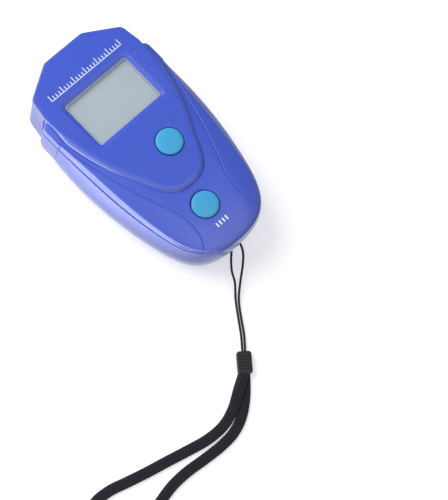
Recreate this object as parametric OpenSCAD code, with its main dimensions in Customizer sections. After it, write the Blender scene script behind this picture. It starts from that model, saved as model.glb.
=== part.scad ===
// Handheld coating thickness gauge, lying on its back: +X right, +Y to the head, +Z out of the face.
// Inside the modules y runs from the tail (0) to the head (length); seat() centres it on the origin.

/* [Housing] */
// Overall length, tail to head
length = 102; // [99:1:108]
// Height of the flat front face above the resting surface
face_z = 27; // [26.6:0.2:30]
// Height of the raised back of the head above the resting surface
head_back_z = 6; // [5:0.5:6.5]
// Height of the parting plane between the front and the rear shell
part_z = 21.2; // [20.8:0.1:21.6]
// Width across the widest part of the grips
belly_w = 61; // [58:0.5:66]
// Height of the widest part of the grips
belly_z = 13.5; // [11:0.5:15]
// Width across the top ridge of the grips at the shoulder seam
ridge_w = 54.6; // [54:0.2:56]
// Width of the flat of the back at the shoulder seam
back_w = 45; // [43:0.5:48]
// Width across the shoulders at the ridge
shoulder_w = 55.4; // [54:0.2:56]
// Width of the head at the notch under its corners
notch_w = 50.4; // [49.6:0.2:52]
// Width of the head at its corners
head_w = 47.6; // [45:0.2:48.4]
// Width of the flat end of the head
head_end_w = 19.6; // [16:0.2:24]
// Lean of the head's wall out to the back
head_lean = 1; // [0.6:0.1:1.2]
// Wall thickness of both shells
wall = 2; // [1.7:0.1:2.2]
// Gap left at the parting line
part_gap = 0.15; // [0.1:0.05:0.25]

/* [Front panel] */
// Distance from the tail to the round lower end of the raised panel
panel_y = 29; // [27:0.5:31]
// Width of the panel's bevelled edge
panel_edge = 0.9; // [0.5:0.1:1.1]
// Reach of the slope at the foot of the panel
panel_foot = 1; // [0.6:0.1:1.3]
// Width of the crease along each grip
crease_w = 1; // [0.6:0.1:1.2]
// Drop of the front surface at the tail
tail_drop = 1.4; // [0.8:0.1:1.6]
// Width of the display window
window_w = 32; // [28:0.5:33]
// Length of the display window
window_l = 21; // [17:0.5:21.5]
// Bevel of the window's edge
window_bevel = 1.6; // [0.8:0.1:1.8]
// Thickness of the rim over the lens
rim_t = 1.3; // [1:0.1:1.5]

/* [Buttons] */
// Diameter of both buttons
button_d = 11; // [9:0.5:12]
// Height of the buttons above the front surface
button_rise = 1; // [0.6:0.1:1.4]
// Travel of the buttons
button_travel = 0.5; // [0.3:0.1:0.6]
// Gap round the buttons
button_gap = 0.3; // [0.2:0.05:0.4]
// Place of the upper button, right of the middle
upper_x = 4.6; // [0:0.2:5]
// Distance of the upper button below the middle of the display
upper_drop = 26.8; // [25:0.1:29]
// Place of the lower button, right of the middle
lower_x = -2.2; // [-3:0.2:2]
// Place of the lower button, from the tail
lower_y = 19; // [18:0.1:20]

/* [Probe] */
// Diameter of the probe collar
collar_d = 16; // [14:0.5:17]
// Diameter of the probe's bobbin
bobbin_d = 9; // [8:0.5:10]
// Diameter of the probe's core
core_d = 3; // [2.4:0.2:3.6]
// Rest height of the probe's tip above the resting surface
tip_z = 0.2; // [0.1:0.1:0.3]
// Travel of the sprung probe
probe_travel = 0.8; // [0.4:0.1:0.9]

/* [Power supply] */
// Diameter of a cell
cell_d = 10.5; // [10:0.1:10.6]
// Length of a cell over its cap
cell_l = 44.5; // [43:0.5:45]
// Thickness of the battery door
door_t = 1.7; // [1.5:0.1:1.9]

/* [Screws] */
// Diameter of the housing screws
screw_d = 2.2; // [1.8:0.1:2.4]
// Diameter of the screws' heads
screw_head_d = 4.2; // [3.6:0.1:4.4]

/* [Strap] */
// Diameter of the thin strap cord
cord_d = 1; // [0.8:0.1:1.2]
// Width of the woven strap
band_w = 4.4; // [4:0.2:5]
// Thickness of the woven strap
band_t = 1.4; // [1.2:0.1:1.4]

/* [Hidden] */
$fn = 48;

eps = 0.01;
slide_gap = 0.2;
fit_gap = 0.1;
touch_gap = 0.05;
cell_gap = 0.25;

// Stations along the housing
seam_l = 28.8;
seam_y = length - seam_l;
notch_l = 17.3;
notch_y = length - notch_l;
corner_l = 8.4;
corner_y = length - corner_l;
display_l = 28.9;
display_y = length - display_l;
probe_l = 17;
probe_y = length - probe_l;
ramp_from = 38;
ramp_y = length - ramp_from;
ramp_l = 8;
upper_y = display_y - upper_drop;

// Side curves from the tail to the seam: shares of half the width, and of the way to the seam
ridge_curve = [[0, 0.014], [0.33, 0.03], [0.575, 0.096], [0.74, 0.207], [0.84, 0.372], [0.908, 0.58],
               [0.95, 0.8], [1, 0.997]];
belly_curve = [[0, 0], [0.344, 0.018], [0.59, 0.08], [0.748, 0.193], [0.872, 0.372], [0.961, 0.58],
               [1, 0.8], [0.98, 0.997]];
back_curve = [[0, 0.055], [0.378, 0.072], [0.622, 0.124], [0.778, 0.22], [0.889, 0.386], [0.969, 0.58],
              [1, 0.8], [1, 0.997]];
panel_curve = [[0, 0], [0.239, 0.022], [0.418, 0.1], [0.578, 0.252], [0.762, 0.43], [0.897, 0.628],
               [0.972, 0.807], [1, 1]];
crease_curve = [[0.974, 1.014], [0.945, 0.939], [0.908, 0.843], [0.842, 0.746], [0.769, 0.635], [0.681, 0.535],
                [0.535, 0.387], [0.454, 0.311], [0.429, 0.229], [0.451, 0.149], [0.513, 0.099]];
crease_end = [[0.9, -1.3, -0.7], [1.3, -2, -1.9]];
crease_lift = 0.1;
crease_vee = [[0.5, 0.4], [-0.5, 0.4], [0, -0.45]];
seam_step = 0.4;
seam_w = 0.6;
seam_depth = 0.4;
shoulder_in = 1;
shoulder_r = [1.9, 3.3];
shoulder_turn = 0.87;
lean_span = [2, -8];
back_in = 0.5;
curve_steps = 4;
panel_steps = 4;
foot_sink = 0.7;
corner_r = [1.6, 1.4];
notch_groove_d = 1.2;
head_run = 20;

// Heights of the front surface, and its share of the rise at each distance in from the ridge
ridge_drop = 3.6;
ridge_z = face_z - ridge_drop;
valley_drop = 1.3;
valley_z = face_z - valley_drop;
ridge_edge = 0.4;
ridge_roll = 0.9;
crown_steps = [[0, -ridge_edge / (valley_z - ridge_z)], [0.4, 0.15], [1.3, 0.35], [3.4, 0.6], [6.4, 0.85],
               [10, 1]];
crown_sink = 2;
crown_lap = [-0.3, 3];
crown_ends = [[0, notch_y + crown_lap[0]], [crown_sink, notch_y + crown_lap[1]]];
crown_squeeze = 0.62;
squeeze_span = [26, 6];
straight_span = [14, 4];
form_lap = 0.3;
roof_t = 2;
ceiling_z = ridge_z - 1.6;
drop_y = 45;

// Heights of the stack inside
channel_z = door_t + slide_gap;
cell_z = channel_z + cell_gap + cell_d / 2;
bay_roof_z = cell_z + cell_d / 2 + cell_gap;
bay_wall = 1.2;
board_t = 1.6;
board_gap = 0.9;
board_z = bay_roof_z + bay_wall + board_gap;
board_top = board_z + board_t;
lens_t = 1.2;
lens_z = face_z - rim_t - lens_t;
glass_t = 2.6;
glass_z = lens_z - slide_gap - glass_t;
glass_margin = 1.5;
lens_margin = 2.2;
window_r = 1.5;
frame_wall = 1.2;
frame_ledge = 1;
strip_t = 2.4;

// Switches and buttons
switch_w = 6.2;
switch_h = 3.6;
plunger_d = 3.4;
plunger_top = board_top + switch_h + 1;
flange_t = 0.8;
flange_rim = 1.2;
dome_h = 0.45;

// Battery bay
cell_x = cell_d / 2 + cell_gap;
bay_margin = 0.8;
bay_half = cell_d + bay_margin;
bay_y = 9.5;
contact_t = 0.4;
contact_l = 5.7;
bay_l = cell_l + contact_l + 2 * contact_t;
cap_l = 1;
cap_d = 3.8;
wire_d = 0.7;

// Battery door
door_lap = 0.7;
door_half = bay_half + bay_wall + door_lap;
door_over = 2;
door_end = bay_y + bay_l + door_over;
tongue_w = 1;
tongue_z = 0.7;
tongue_t = 0.8;
grip_ribs = 5;
grip_pitch = 2.2;
grip_depth = 0.5;
grip_start = 6;
frame_lap = 3;
frame_t = 1.2;

// Screws and their bosses: place, height of the back there
boss_d = 6.4;
boss_mate = 12;
screw_head_h = 1.6;
screw_l = 13;
screw_sink = 1.2;
tail_screw = [bay_half + 6.2, 30];
head_screw = [17, length - 12];
screw_places = [for (s = [-1, 1]) each [[s * tail_screw.x, tail_screw.y, 0],
                                        [s * head_screw.x, head_screw.y, head_back_z]]];
head_boss_cut = 2;
boss_root = 0.5;
hole_gap = 0.4;
thread_gap = 0.04;
slot_w = 0.6;
slot_depth = 0.9;

// Controller chip on the circuit board
chip_w = 10;
chip_h = 1.4;
chip_y = bay_y + 22;
leg_pitch = 1;
leg_out = 0.4;
leg_l = 1.6;
leg_w = 0.4;
leg_h = 0.5;

// Posts under the circuit board
post_d = 3.6;
post_in = 8;
head_post = [16.5, display_y + post_d];

// Strap eye in the tail wall
eye_half = 4;
eye_z = 4.4;
eye_h = 5.6;
eye_depth = 5;
eye_wall = 1.6;
bar_d = 1.8;
bar_y = 1.9;

// Probe stack, from the tip up
collar_z = tip_z + probe_travel;
collar_lip = 0.3;
collar_lip_w = 1;
collar_lip_d = bobbin_d - 2 * collar_lip_w;
collar_in = 6;
collar_top = head_back_z + collar_in;
collar_roof = 1;
collar_rim = 1.5;
collar_flange_d = collar_d + 2 * collar_rim;
collar_flange_t = 1.4;
collar_wall = 2.2;
core_gap = 0.5;
core_over = 0.8;
bobbin_z = collar_z + collar_lip + fit_gap;
bobbin_h = 5.8;
bobbin_flange = 1;
hub_wall = 0.7;
bobbin_hub_d = core_d + 2 * hub_wall;
core_h = bobbin_z + bobbin_h - tip_z + core_over;
spring_in = 1;
spring_d = bobbin_d - 2 * spring_in;
spring_wire = 0.6;
spring_turns = 3.5;
lead_d = 0.8;

// Strap routes, from the crimp round the eye's bar and back, and from the crimp round the loop and back
turn_r = 2.2;
eye_mid = eye_z + eye_h / 2;
cord_route = [[-26.6, -31.3, 1.5], [-21.8, -25.8, 0.6], [-17.8, -20.2, 0.6], [-13.6, -14.3, 0.6],
              [-9.3, -9.2, 1.2], [-7.2, -5, 3.2], [-4.6, -1.6, 5.6], [-2.4, 0.8, eye_mid],
              for (a = [165, 130, 90, 50, 15]) [turn_r * cos(a), bar_y + turn_r * sin(a), eye_mid],
              [2.2, 0.4, eye_mid], [0.9, -2.8, 5.6], [-2.2, -6.2, 3], [-7.4, -10.4, 1.2], [-12.6, -15.1, 0.6],
              [-16.9, -20.9, 0.6], [-20.8, -26.5, 0.6], [-25.9, -32.1, 1.5]];
band_route = [[-31.4, -37.7, 0.8], [-38, -44.4, 0.8], [-44.5, -49, 0.8], [-51, -51.3, 0.8], [-58, -51.6, 0.8],
              [-66, -50.8, 0.8], [-75, -49.6, 0.8], [-83, -49.6, 0.8], [-92, -51.2, 0.8], [-101, -53, 0.8],
              [-108, -52.9, 0.8], [-114.5, -49.5, 0.8], [-117.5, -43.5, 0.8], [-114.5, -37.3, 0.8],
              [-108, -34, 0.8], [-101, -34.4, 0.8], [-94, -36.6, 0.8], [-86, -39.1, 0.8], [-77, -41.6, 0.8],
              [-68, -44.2, 0.8], [-60, -46.2, 0.8], [-52, -46.6, 0.9], [-45, -44.6, 1.5], [-38, -40.6, 2.2],
              [-31.8, -37.3, 2.3]];
crimp_mid = [-28.8, -34.6];
crimp_turn = 50;
crimp_size = [9, 6, 3.2];
crimp_r = 1.2;

// Geometry helpers

function mix(a, b, t) = a + (b - a) * t;
function unit(v) = v / norm(v);

// Smooth curve through points, n steps from each to the next
function smooth(p, n) =
    [for (i = [0:len(p) - 2], k = [0:n - 1])
        let(a = p[max(i - 1, 0)], b = p[i], c = p[i + 1], d = p[min(i + 2, len(p) - 1)], t = k / n)
        0.5 * (2 * b + (c - a) * t + (2 * a - 5 * b + 4 * c - d) * t * t + (3 * b - a - 3 * c + d) * t * t * t),
     p[len(p) - 1]];

// Soft step from 0 at a to 1 at b
function ease(a, b, x) = let(t = max(0, min(1, (x - a) / (b - a)))) t * t * (3 - 2 * t);

// The same over a span of distances below the seam
function soft_end(span, y) = ease(seam_y - span[0], seam_y - span[1], y);

// Smooth half outline that crosses the middle line at a right angle
function from_middle(p, n) =
    let(c = smooth(concat([[-p[1].x, p[1].y]], p), n)) [for (i = [n:len(c) - 1]) c[i]];

// Corner at b, between a and c, eased over a reach of r
function eased(a, b, c, r) =
    let(p = b + unit(a - b) * r, q = b + unit(c - b) * r)
    [for (t = [0, 0.33, 0.67, 1]) mix(mix(p, b, t), mix(b, q, t), t)];

// Distance of a point from a line of points
function away(p, h) =
    min([for (i = [0:len(h) - 2])
        let(e = h[i + 1] - h[i], t = max(0, min(1, ((p - h[i]) * e) / (e * e)))) norm(h[i] + e * t - p)]);

// Half outline moved inwards by d, one distance or one a point; it mirrors at both ends
function inset(h, d) =
    [for (i = [0:len(h) - 1])
        let(before = i == 0 ? [-h[1].x, h[1].y] : h[i - 1],
            after = i == len(h) - 1 ? [-h[i].x, h[i].y] : h[i + 1],
            e1 = unit(h[i] - before), e2 = unit(after - h[i]),
            n1 = [-e1.y, e1.x], n = unit(n1 + [-e2.y, e2.x]))
        h[i] + n * (is_list(d) ? d[i] : d) / (n * n1)];

// Both halves of a half outline as one ring
function ring(h) = concat(h, [for (i = [len(h) - 1:-1:1]) [-h[i].x, h[i].y]]);

// Solid through half outlines of 3-D points, stacked from the bottom up
module loft(levels) {
    n = len(levels[0]);
    m = 2 * n - 1;
    rings = [for (h = levels) each concat(h, [for (i = [n - 1:-1:1]) [-h[i].x, h[i].y, h[i].z]])];
    top = (len(levels) - 1) * m;
    sides = [for (k = [0:len(levels) - 2], j = [0:m - 1])
        let(a = k * m + j, b = k * m + (j + 1) % m) each [[a, a + m, b + m], [a, b + m, b]]];
    floor_faces = [[0, 1, m - 1], for (j = [1:n - 2]) [j, j + 1, m - j - 1, m - j]];
    roof_faces = [for (f = floor_faces) [for (i = [len(f) - 1:-1:0]) f[i] + top]];
    polyhedron(rings, concat(floor_faces, sides, roof_faces));
}

// Skin over rings of n points each, closed by the first and the last ring
module skin(points, n) {
    last = len(points) / n - 1;
    walls = [for (i = [0:last - 1], j = [0:n - 1])
        let(a = i * n + j, b = i * n + (j + 1) % n) each [[a, b, b + n], [a, b + n, a + n]]];
    polyhedron(points, concat(walls, [[for (j = [n - 1:-1:0]) j]], [[for (j = [0:n - 1]) last * n + j]]));
}

// Tube of any cross-section along a route; the section's x lies level and its y stands up
module sweep(route, section) {
    last = len(route) - 1;
    skin([for (i = [0:last])
              let(t = unit(route[min(i + 1, last)] - route[max(i - 1, 0)]),
                  side = unit(cross(t, [0, 0, 1])), up = cross(side, t))
              for (s = section) route[i] + side * s.x + up * s.y],
         len(section));
}

function oval(w, t, n) = [for (j = [0:n - 1]) [w / 2 * cos(360 * j / n), t / 2 * sin(360 * j / n)]];

// Coil spring along +Z from radius r1 to r2
module coil(r1, r2, h, turns, wire) {
    steps = round(turns * 11);
    section = oval(wire, wire, 6);
    skin([for (i = [0:steps])
              let(t = i / steps, a = 360 * turns * t, r = mix(r1, r2, t), z = mix(wire / 2, h - wire / 2, t))
              for (s = section) [(r + s.x) * cos(a), (r + s.x) * sin(a), z + s.y]],
         len(section));
}

module rounded(w, l, r) {
    for (x = [-1, 1], y = [-1, 1])
        translate([x * (w / 2 - r), y * (l / 2 - r)])
            circle(r, $fn = 32);
    square([w, l - 2 * r], center = true);
    square([w - 2 * r, l], center = true);
}

module slab(w, l, h) {
    translate([-w / 2, -l / 2, 0])
        cube([w, l, h]);
}

module disc(d, z1, z2) {
    translate([0, 0, z1])
        cylinder(d = d, h = z2 - z1);
}

// Moves the tail-based y onto the centred frame
module seat() {
    translate([0, -length / 2, 0])
        children();
}

// Outlines of the housing

function side_points(curve, half) = from_middle([for (p = curve) [p.x * half, p.y * seam_y]], curve_steps);

// Half outline of the grip: its side, the seam, the shoulder with its round end, and points in from the notch
function grip_half(curve, half, shoulder, notch, ends) =
    concat(side_points(curve, half),
           [[shoulder, seam_y + seam_step], [shoulder, notch_y - shoulder_r[1]],
            [mix(notch, shoulder, shoulder_turn), notch_y - shoulder_r[0]]],
           [for (e = ends) [notch - e[0], e[1]]]);

// Half outline at height z: the ridge bulges out to the belly, which rolls in to the back
function wall_half(z, ends) =
    let(belly = grip_half(belly_curve, belly_w / 2, belly_w / 2 - shoulder_in, notch_w / 2, ends),
        ridge = grip_half(ridge_curve, ridge_w / 2, shoulder_w / 2, notch_w / 2, ends),
        back = grip_half(back_curve, back_w / 2, back_w / 2 - back_in, back_w / 2 - 2 * back_in, ends),
        up = (z - belly_z) / (ridge_z - belly_z), down = (belly_z - z) / belly_z)
    z > belly_z ? mix(belly, ridge, pow(up, 1.6)) : mix(belly, back, 1 - sqrt(1 - down * down));

function at(h, z) = [for (p = h) [p.x, p.y, z]];
function drop(y) = tail_drop * pow(max(0, drop_y - y) / drop_y, 2);

wall_levels = [0, 0.25, 1, 2.4, 4.6, 8, belly_z, 17, part_z - part_gap];
inner_levels = [1.2, 2.4, 4.6, 8, belly_z, 17, part_z + 1];

// Side view of the back: flat at the grip, raised behind the head
module back_profile(rise) {
    translate([-length, 0, 0])
        rotate([90, 0, 90])
            linear_extrude(2 * length)
                polygon([[-length, rise], [ramp_y, rise], [ramp_y + ramp_l, head_back_z + rise],
                         [2 * length, head_back_z + rise], [2 * length, 2 * face_z], [-length, 2 * face_z]]);
}

// Outer form of the rear housing up to the notch
module grip_form() {
    intersection() {
        loft([for (z = wall_levels) at(wall_half(z, [[0, notch_y - part_gap]]), z)]);
        back_profile(0);
    }
}

// Hollow inside of the rear housing, open at the top and into the head
module grip_hollow() {
    intersection() {
        loft([for (z = inner_levels) at(inset(wall_half(z, [[0, notch_y], [0, notch_y + 8]]), wall), z)]);
        back_profile(wall);
    }
}

head_corner = [head_w / 2, corner_y];
head_end = [head_end_w / 2, length];
head_half = concat([[notch_w / 2, notch_y]],
                   eased([notch_w / 2, notch_y], head_corner, head_end, corner_r[0]),
                   eased(head_corner, head_end, [0, length], corner_r[1]));
head_line = concat([[0, notch_y - head_run], [notch_w / 2, notch_y - head_run / 2]], head_half);
panel_side = from_middle([for (p = panel_curve) [p.x * notch_w / 2, mix(panel_y, notch_y, p.y)]], panel_steps);
panel_half = concat(panel_side, [for (i = [1:len(head_half) - 1]) head_half[i]]);

// Half outline of the hollow in the head, running out at the notch
module head_area(d, y_from) {
    inner = inset(head_line, d);
    n = len(inner);
    right = concat([[inner[2].x, y_from]], [for (i = [2:n - 1]) if (inner[i].y > y_from) inner[i]]);
    polygon(concat(right, [for (i = [len(right) - 1:-1:0]) [-right[i].x, right[i].y]]));
}

// Housing pieces

// The panel's side is upright on the head and slopes out to its foot below it
panel_lean = [for (p = panel_half) 1 - soft_end(lean_span, p.y)];
panel_levels = [[part_z + form_lap, 0, -panel_foot], [valley_z - foot_sink, 0, -panel_foot],
                [mix(valley_z, face_z, 0.1), 0, -0.6 * panel_foot], [face_z - panel_edge, 0, -0.2 * panel_foot],
                [face_z - 0.3 * panel_edge, 0.25 * panel_edge, 0.4 * panel_edge],
                [face_z, panel_edge, 1.4 * panel_edge]];

// Raised panel with its bevelled edge, from the hexagonal head to the round lower end
module panel_form() {
    loft([for (s = panel_levels) at(inset(panel_half, [for (k = panel_lean) mix(s[1], s[2], k)]), s[0])]);
}

// The slope in from the ridge runs square to it at the tail, and straight in past the shoulders
ridge_line = wall_half(ridge_z - ridge_edge, crown_ends);
ridge_inner = inset(ridge_line, 1);
crown_way = [for (i = [0:len(ridge_line) - 1])
    unit(mix(ridge_inner[i] - ridge_line[i], [-1, 0], soft_end(straight_span, ridge_line[i].y)))];
crown_reach = [for (p = ridge_line) 1 - crown_squeeze * soft_end(squeeze_span, p.y)];

function crown_share(d) = lookup(d, crown_steps);
function crown_z(p) = mix(ridge_z, valley_z, crown_share(away(p, ridge_line))) - drop(p.y);
function crown_ring(d) =
    [for (i = [0:len(ridge_line) - 1])
        let(reach = min(d, ridge_roll) + max(d - ridge_roll, 0) * crown_reach[i],
            q = ridge_line[i] + crown_way[i] * reach)
        [q.x, q.y, mix(ridge_z, valley_z, crown_share(reach)) - drop(q.y)]];

// Front surface round the panel: lip, ridge, and the slope up to the panel's foot
module crown_form() {
    loft([at(wall_half(part_z, crown_ends), part_z),
          for (s = crown_steps) crown_ring(s[0])]);
}

// Crease along each grip, from the seam to the tail and over its edge
module crease_cut() {
    line = smooth([for (p = crease_curve) [p.x * ridge_w / 2, p.y * seam_y]], 3);
    points = [for (p = line) [p.x, p.y, crown_z(p) + crease_lift]];
    end = points[len(points) - 1];
    for (side = [0, 1])
        mirror([side, 0, 0])
            sweep(concat(points, [for (e = crease_end) end + e]), crease_w * crease_vee);
}

// Upright grooves at the shoulder seams and at the notches
module seam_cut(levels) {
    k = len(side_points(ridge_curve, 1));
    for (side = [0, 1])
        mirror([side, 0, 0]) {
            skin([for (z = levels)
                      let(x = wall_half(z, crown_ends)[k].x, y = seam_y + seam_step / 2)
                      each [[x + seam_w, y + seam_w, z], [x + seam_w, y - seam_w, z], [x - seam_depth, y, z]]],
                 3);
            translate([notch_w / 2, notch_y, 0])
                disc(notch_groove_d, head_back_z - 1, valley_z);
        }
}

// The head's wall leans out to the back, and the lean fades out towards its flat end
module head_form() {
    lean = [for (p = head_line) head_lean * (1 - ease(corner_y, length, p.y))];
    loft([for (s = [[head_back_z, -1], [part_z + form_lap, 0]])
        let(line = inset(head_line, s[1] * lean))
        at(concat([[0, notch_y - form_lap], [line[2].x, notch_y]],
                  [for (i = [3:len(line) - 1]) line[i]]), s[0])]);
}

function front_at(y) = valley_z - drop(y);

module window_cut() {
    translate([0, display_y, 0]) {
        hull() {
            translate([0, 0, face_z - rim_t])
                linear_extrude(eps)
                    rounded(window_w, window_l, window_r);
            translate([0, 0, face_z])
                linear_extrude(0.2)
                    rounded(window_w + 2 * window_bevel, window_l + 2 * window_bevel, window_r + window_bevel);
        }
        translate([0, 0, lens_z - 1])
            slab(window_w + 2 * lens_margin + slide_gap, window_l + 2 * lens_margin + slide_gap, lens_t + 1);
        translate([0, 0, face_z - rim_t - eps])
            linear_extrude(2 * eps)
                rounded(window_w, window_l, window_r);
    }
}

module button_cut(x, y, surface) {
    translate([x, y, 0]) {
        disc(button_d + 2 * button_gap, part_z - 1, face_z + 1);
        disc(button_d + 2 * flange_rim + 2 * button_gap, part_z - 1, surface - roof_t);
    }
}

module front_hollow() {
    translate([0, 0, part_z - 1])
        linear_extrude(ceiling_z - part_z + 1)
            polygon(ring(inset(wall_half(ridge_z, [[0, notch_y], [0, notch_y + 4]]), wall + 0.3)));
    translate([0, 0, part_z - 1])
        linear_extrude(face_z - roof_t - part_z + 1)
            polygon(ring(inset(panel_half, wall + 0.2)));
    translate([0, 0, head_back_z - 1])
        linear_extrude(face_z - roof_t - head_back_z + 1)
            head_area(wall, notch_y - 1);
}

function boss_z(p) = p.z + boss_mate - (p.z > 0 ? head_boss_cut : 0);

module front_boss(p) {
    top = p.z > 0 ? face_z - roof_t : ceiling_z;
    translate([p.x, p.y, 0])
        disc(boss_d, boss_z(p) + touch_gap, top + boss_root);
}

module front_shell() {
    color("royalblue")
        seat()
            difference() {
                union() {
                    difference() {
                        union() {
                            crown_form();
                            panel_form();
                            head_form();
                        }
                        crease_cut();
                        seam_cut([part_z - 1, 22, ridge_z - ridge_edge, ridge_z + 1]);
                        front_hollow();
                    }
                    for (p = screw_places)
                        front_boss(p);
                }
                window_cut();
                button_cut(upper_x, upper_y, face_z);
                button_cut(lower_x, lower_y, front_at(lower_y));
                for (p = screw_places)
                    translate([p.x, p.y, 0])
                        disc(screw_d + thread_gap, 0, p.z + screw_sink + screw_head_h + screw_l + hole_gap);
            }
}

module bay_form() {
    translate([-bay_half - bay_wall, bay_y - bay_wall, channel_z])
        cube([2 * (bay_half + bay_wall), bay_l + 2 * bay_wall, bay_roof_z + bay_wall - channel_z]);
}

module bay_hollow() {
    translate([-bay_half, bay_y, channel_z - 1])
        cube([2 * bay_half, bay_l, bay_roof_z - channel_z + 1]);
}

// Channel for the door, with a groove along each side for its tongues
module door_channel() {
    translate([-door_half - slide_gap, -length, -1])
        cube([2 * (door_half + slide_gap), length + door_end + slide_gap, channel_z + 1]);
    translate([-door_half - slide_gap - tongue_w, -length, tongue_z - slide_gap])
        cube([2 * (door_half + slide_gap + tongue_w), length + door_end + slide_gap, tongue_t + 2 * slide_gap]);
}

module eye_block() {
    intersection() {
        grip_form();
        translate([-eye_half - eye_wall, -1, channel_z])
            cube([2 * (eye_half + eye_wall), bay_y + 0.5, eye_z + eye_h + eye_wall - channel_z]);
    }
}

module eye_cut() {
    difference() {
        translate([-eye_half, -1, eye_z])
            cube([2 * eye_half, eye_depth + 1, eye_h]);
        translate([0, bar_y, 0])
            disc(bar_d, eye_z - 1, eye_z + eye_h + 1);
    }
}

module head_plate() {
    translate([0, 0, head_back_z])
        linear_extrude(wall)
            head_area(wall + slide_gap, notch_y - 3);
}

module rear_boss(p) {
    translate([p.x, p.y, 0])
        disc(boss_d, p.z + boss_root, boss_z(p));
}

module board_posts() {
    for (x = [-1, 1], y = [bay_y + post_in, bay_y + bay_l - post_in])
        translate([x * post_in, y, 0])
            disc(post_d, bay_roof_z, board_z);
    for (x = [-1, 1])
        translate([x * head_post.x, head_post.y, 0])
            disc(post_d, head_back_z + boss_root, board_z);
}

module rear_shell() {
    color("mediumblue")
        seat()
            difference() {
                union() {
                    difference() {
                        grip_form();
                        seam_cut([head_back_z, 8, 10.5, belly_z, 17, part_z]);
                        grip_hollow();
                    }
                    head_plate();
                    intersection() {
                        bay_form();
                        grip_form();
                    }
                    eye_block();
                    board_posts();
                    for (p = screw_places)
                        rear_boss(p);
                    translate([0, probe_y, 0])
                        disc(collar_d + 2 * collar_wall, head_back_z, collar_top - collar_roof);
                    door_frame();
                }
                bay_hollow();
                door_channel();
                eye_cut();
                translate([0, probe_y, 0])
                    disc(collar_d + 2 * fit_gap, 0, collar_top + 1);
                for (p = screw_places)
                    translate([p.x, p.y, p.z]) {
                        disc(screw_head_d + hole_gap, -1, screw_sink + screw_head_h);
                        disc(screw_d + hole_gap, 0, boss_mate + 1);
                    }
            }
}

// Thickened floor round the door's channel
module door_frame() {
    intersection() {
        grip_form();
        translate([-door_half - frame_lap, -1, 0])
            cube([2 * (door_half + frame_lap), door_end + 1 + frame_lap, channel_z + frame_t]);
    }
}

module battery_door() {
    color("royalblue")
        seat()
            difference() {
                intersection() {
                    union() {
                        translate([-door_half, -1, 0])
                            cube([2 * door_half, door_end + 1, door_t]);
                        translate([-door_half - tongue_w, -1, tongue_z])
                            cube([2 * (door_half + tongue_w), door_end + 1, tongue_t]);
                    }
                    grip_form();
                }
                for (k = [0:grip_ribs - 1])
                    translate([-door_half / 2, door_end - grip_start - k * grip_pitch, -1])
                        cube([door_half, grip_pitch / 2, 1 + grip_depth]);
            }
}

// Display

module display_lens() {
    color("lightcyan", 0.5)
        seat()
            translate([0, display_y, lens_z])
                slab(window_w + 2 * lens_margin, window_l + 2 * lens_margin, lens_t);
}

module display_panel() {
    color("lightsteelblue")
        seat()
            translate([0, display_y, glass_z])
                slab(window_w + 2 * glass_margin, window_l + 2 * glass_margin, glass_t);
}

module display_frame() {
    inner_w = window_w + 2 * glass_margin + slide_gap;
    inner_l = window_l + 2 * glass_margin + slide_gap;
    color("white")
        seat()
            translate([0, display_y, 0])
                difference() {
                    translate([0, 0, board_top])
                        slab(inner_w + 2 * frame_wall, inner_l + 2 * frame_wall, lens_z - board_top);
                    translate([0, 0, glass_z])
                        slab(inner_w, inner_l, lens_z);
                    translate([0, 0, board_top - 1])
                        slab(inner_w - 2 * frame_ledge, inner_l - 2 * frame_ledge, lens_z);
                }
}

module contact_strips() {
    offset_y = window_l / 2 + glass_margin - frame_ledge - strip_t / 2 - slide_gap;
    color("dimgray")
        seat()
            for (s = [-1, 1])
                translate([0, display_y + s * offset_y, board_top])
                    slab(window_w - 2, strip_t, glass_z - board_top);
}

// Electronics

module circuit_board() {
    tail_half = bay_half + 1.7;
    wide_half = window_w / 2 + glass_margin + frame_wall + 1;
    wide_from = display_y - window_l / 2 - glass_margin - frame_wall - 1;
    wide_to = head_screw.y - boss_d / 2 - 0.6;
    tab_half = head_screw.x - boss_d / 2 - 1;
    right = [[tail_half, bay_y + 2], [tail_half, wide_from - 4], [wide_half, wide_from], [wide_half, wide_to],
             [tab_half, wide_to], [tab_half, length - 7]];
    color("darkgreen")
        seat()
            translate([0, 0, board_z])
                linear_extrude(board_t)
                    polygon(concat(right, [for (i = [len(right) - 1:-1:0]) [-right[i].x, right[i].y]]));
}

module controller_chip() {
    color("black")
        seat()
            translate([-chip_w / 2, chip_y, board_top]) {
                slab(chip_w, chip_w, chip_h);
                for (s = [-1, 1], k = [-4:4])
                    translate([s * (chip_w / 2 + leg_out), k * leg_pitch, 0])
                        slab(leg_l, leg_w, leg_h);
            }
}

module switch_body(x, y) {
    color("silver")
        seat()
            translate([x, y, board_top])
                difference() {
                    slab(switch_w, switch_w, switch_h);
                    disc(plunger_d + 2 * fit_gap, switch_h - 2, switch_h + 1);
                }
}

module plunger(x, y) {
    color("black")
        seat()
            translate([x, y, 0])
                disc(plunger_d, board_top + switch_h - 2 + button_travel + 0.3, plunger_top);
}

// Button with a domed cap, a flange under the roof and a stem on the plunger
module button(x, y, surface) {
    top = surface + button_rise;
    flange = surface - roof_t - fit_gap;
    r = button_d / 2;
    dome_r = (r * r + dome_h * dome_h) / (2 * dome_h);
    color("turquoise")
        seat()
            translate([x, y, 0]) {
                intersection() {
                    disc(button_d, flange - flange_t / 2, top);
                    translate([0, 0, top - dome_r])
                        sphere(dome_r, $fn = 96);
                }
                disc(button_d + 2 * flange_rim, flange - flange_t, flange);
                disc(plunger_d + 1.6, plunger_top, flange - flange_t / 2);
            }
}

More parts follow.
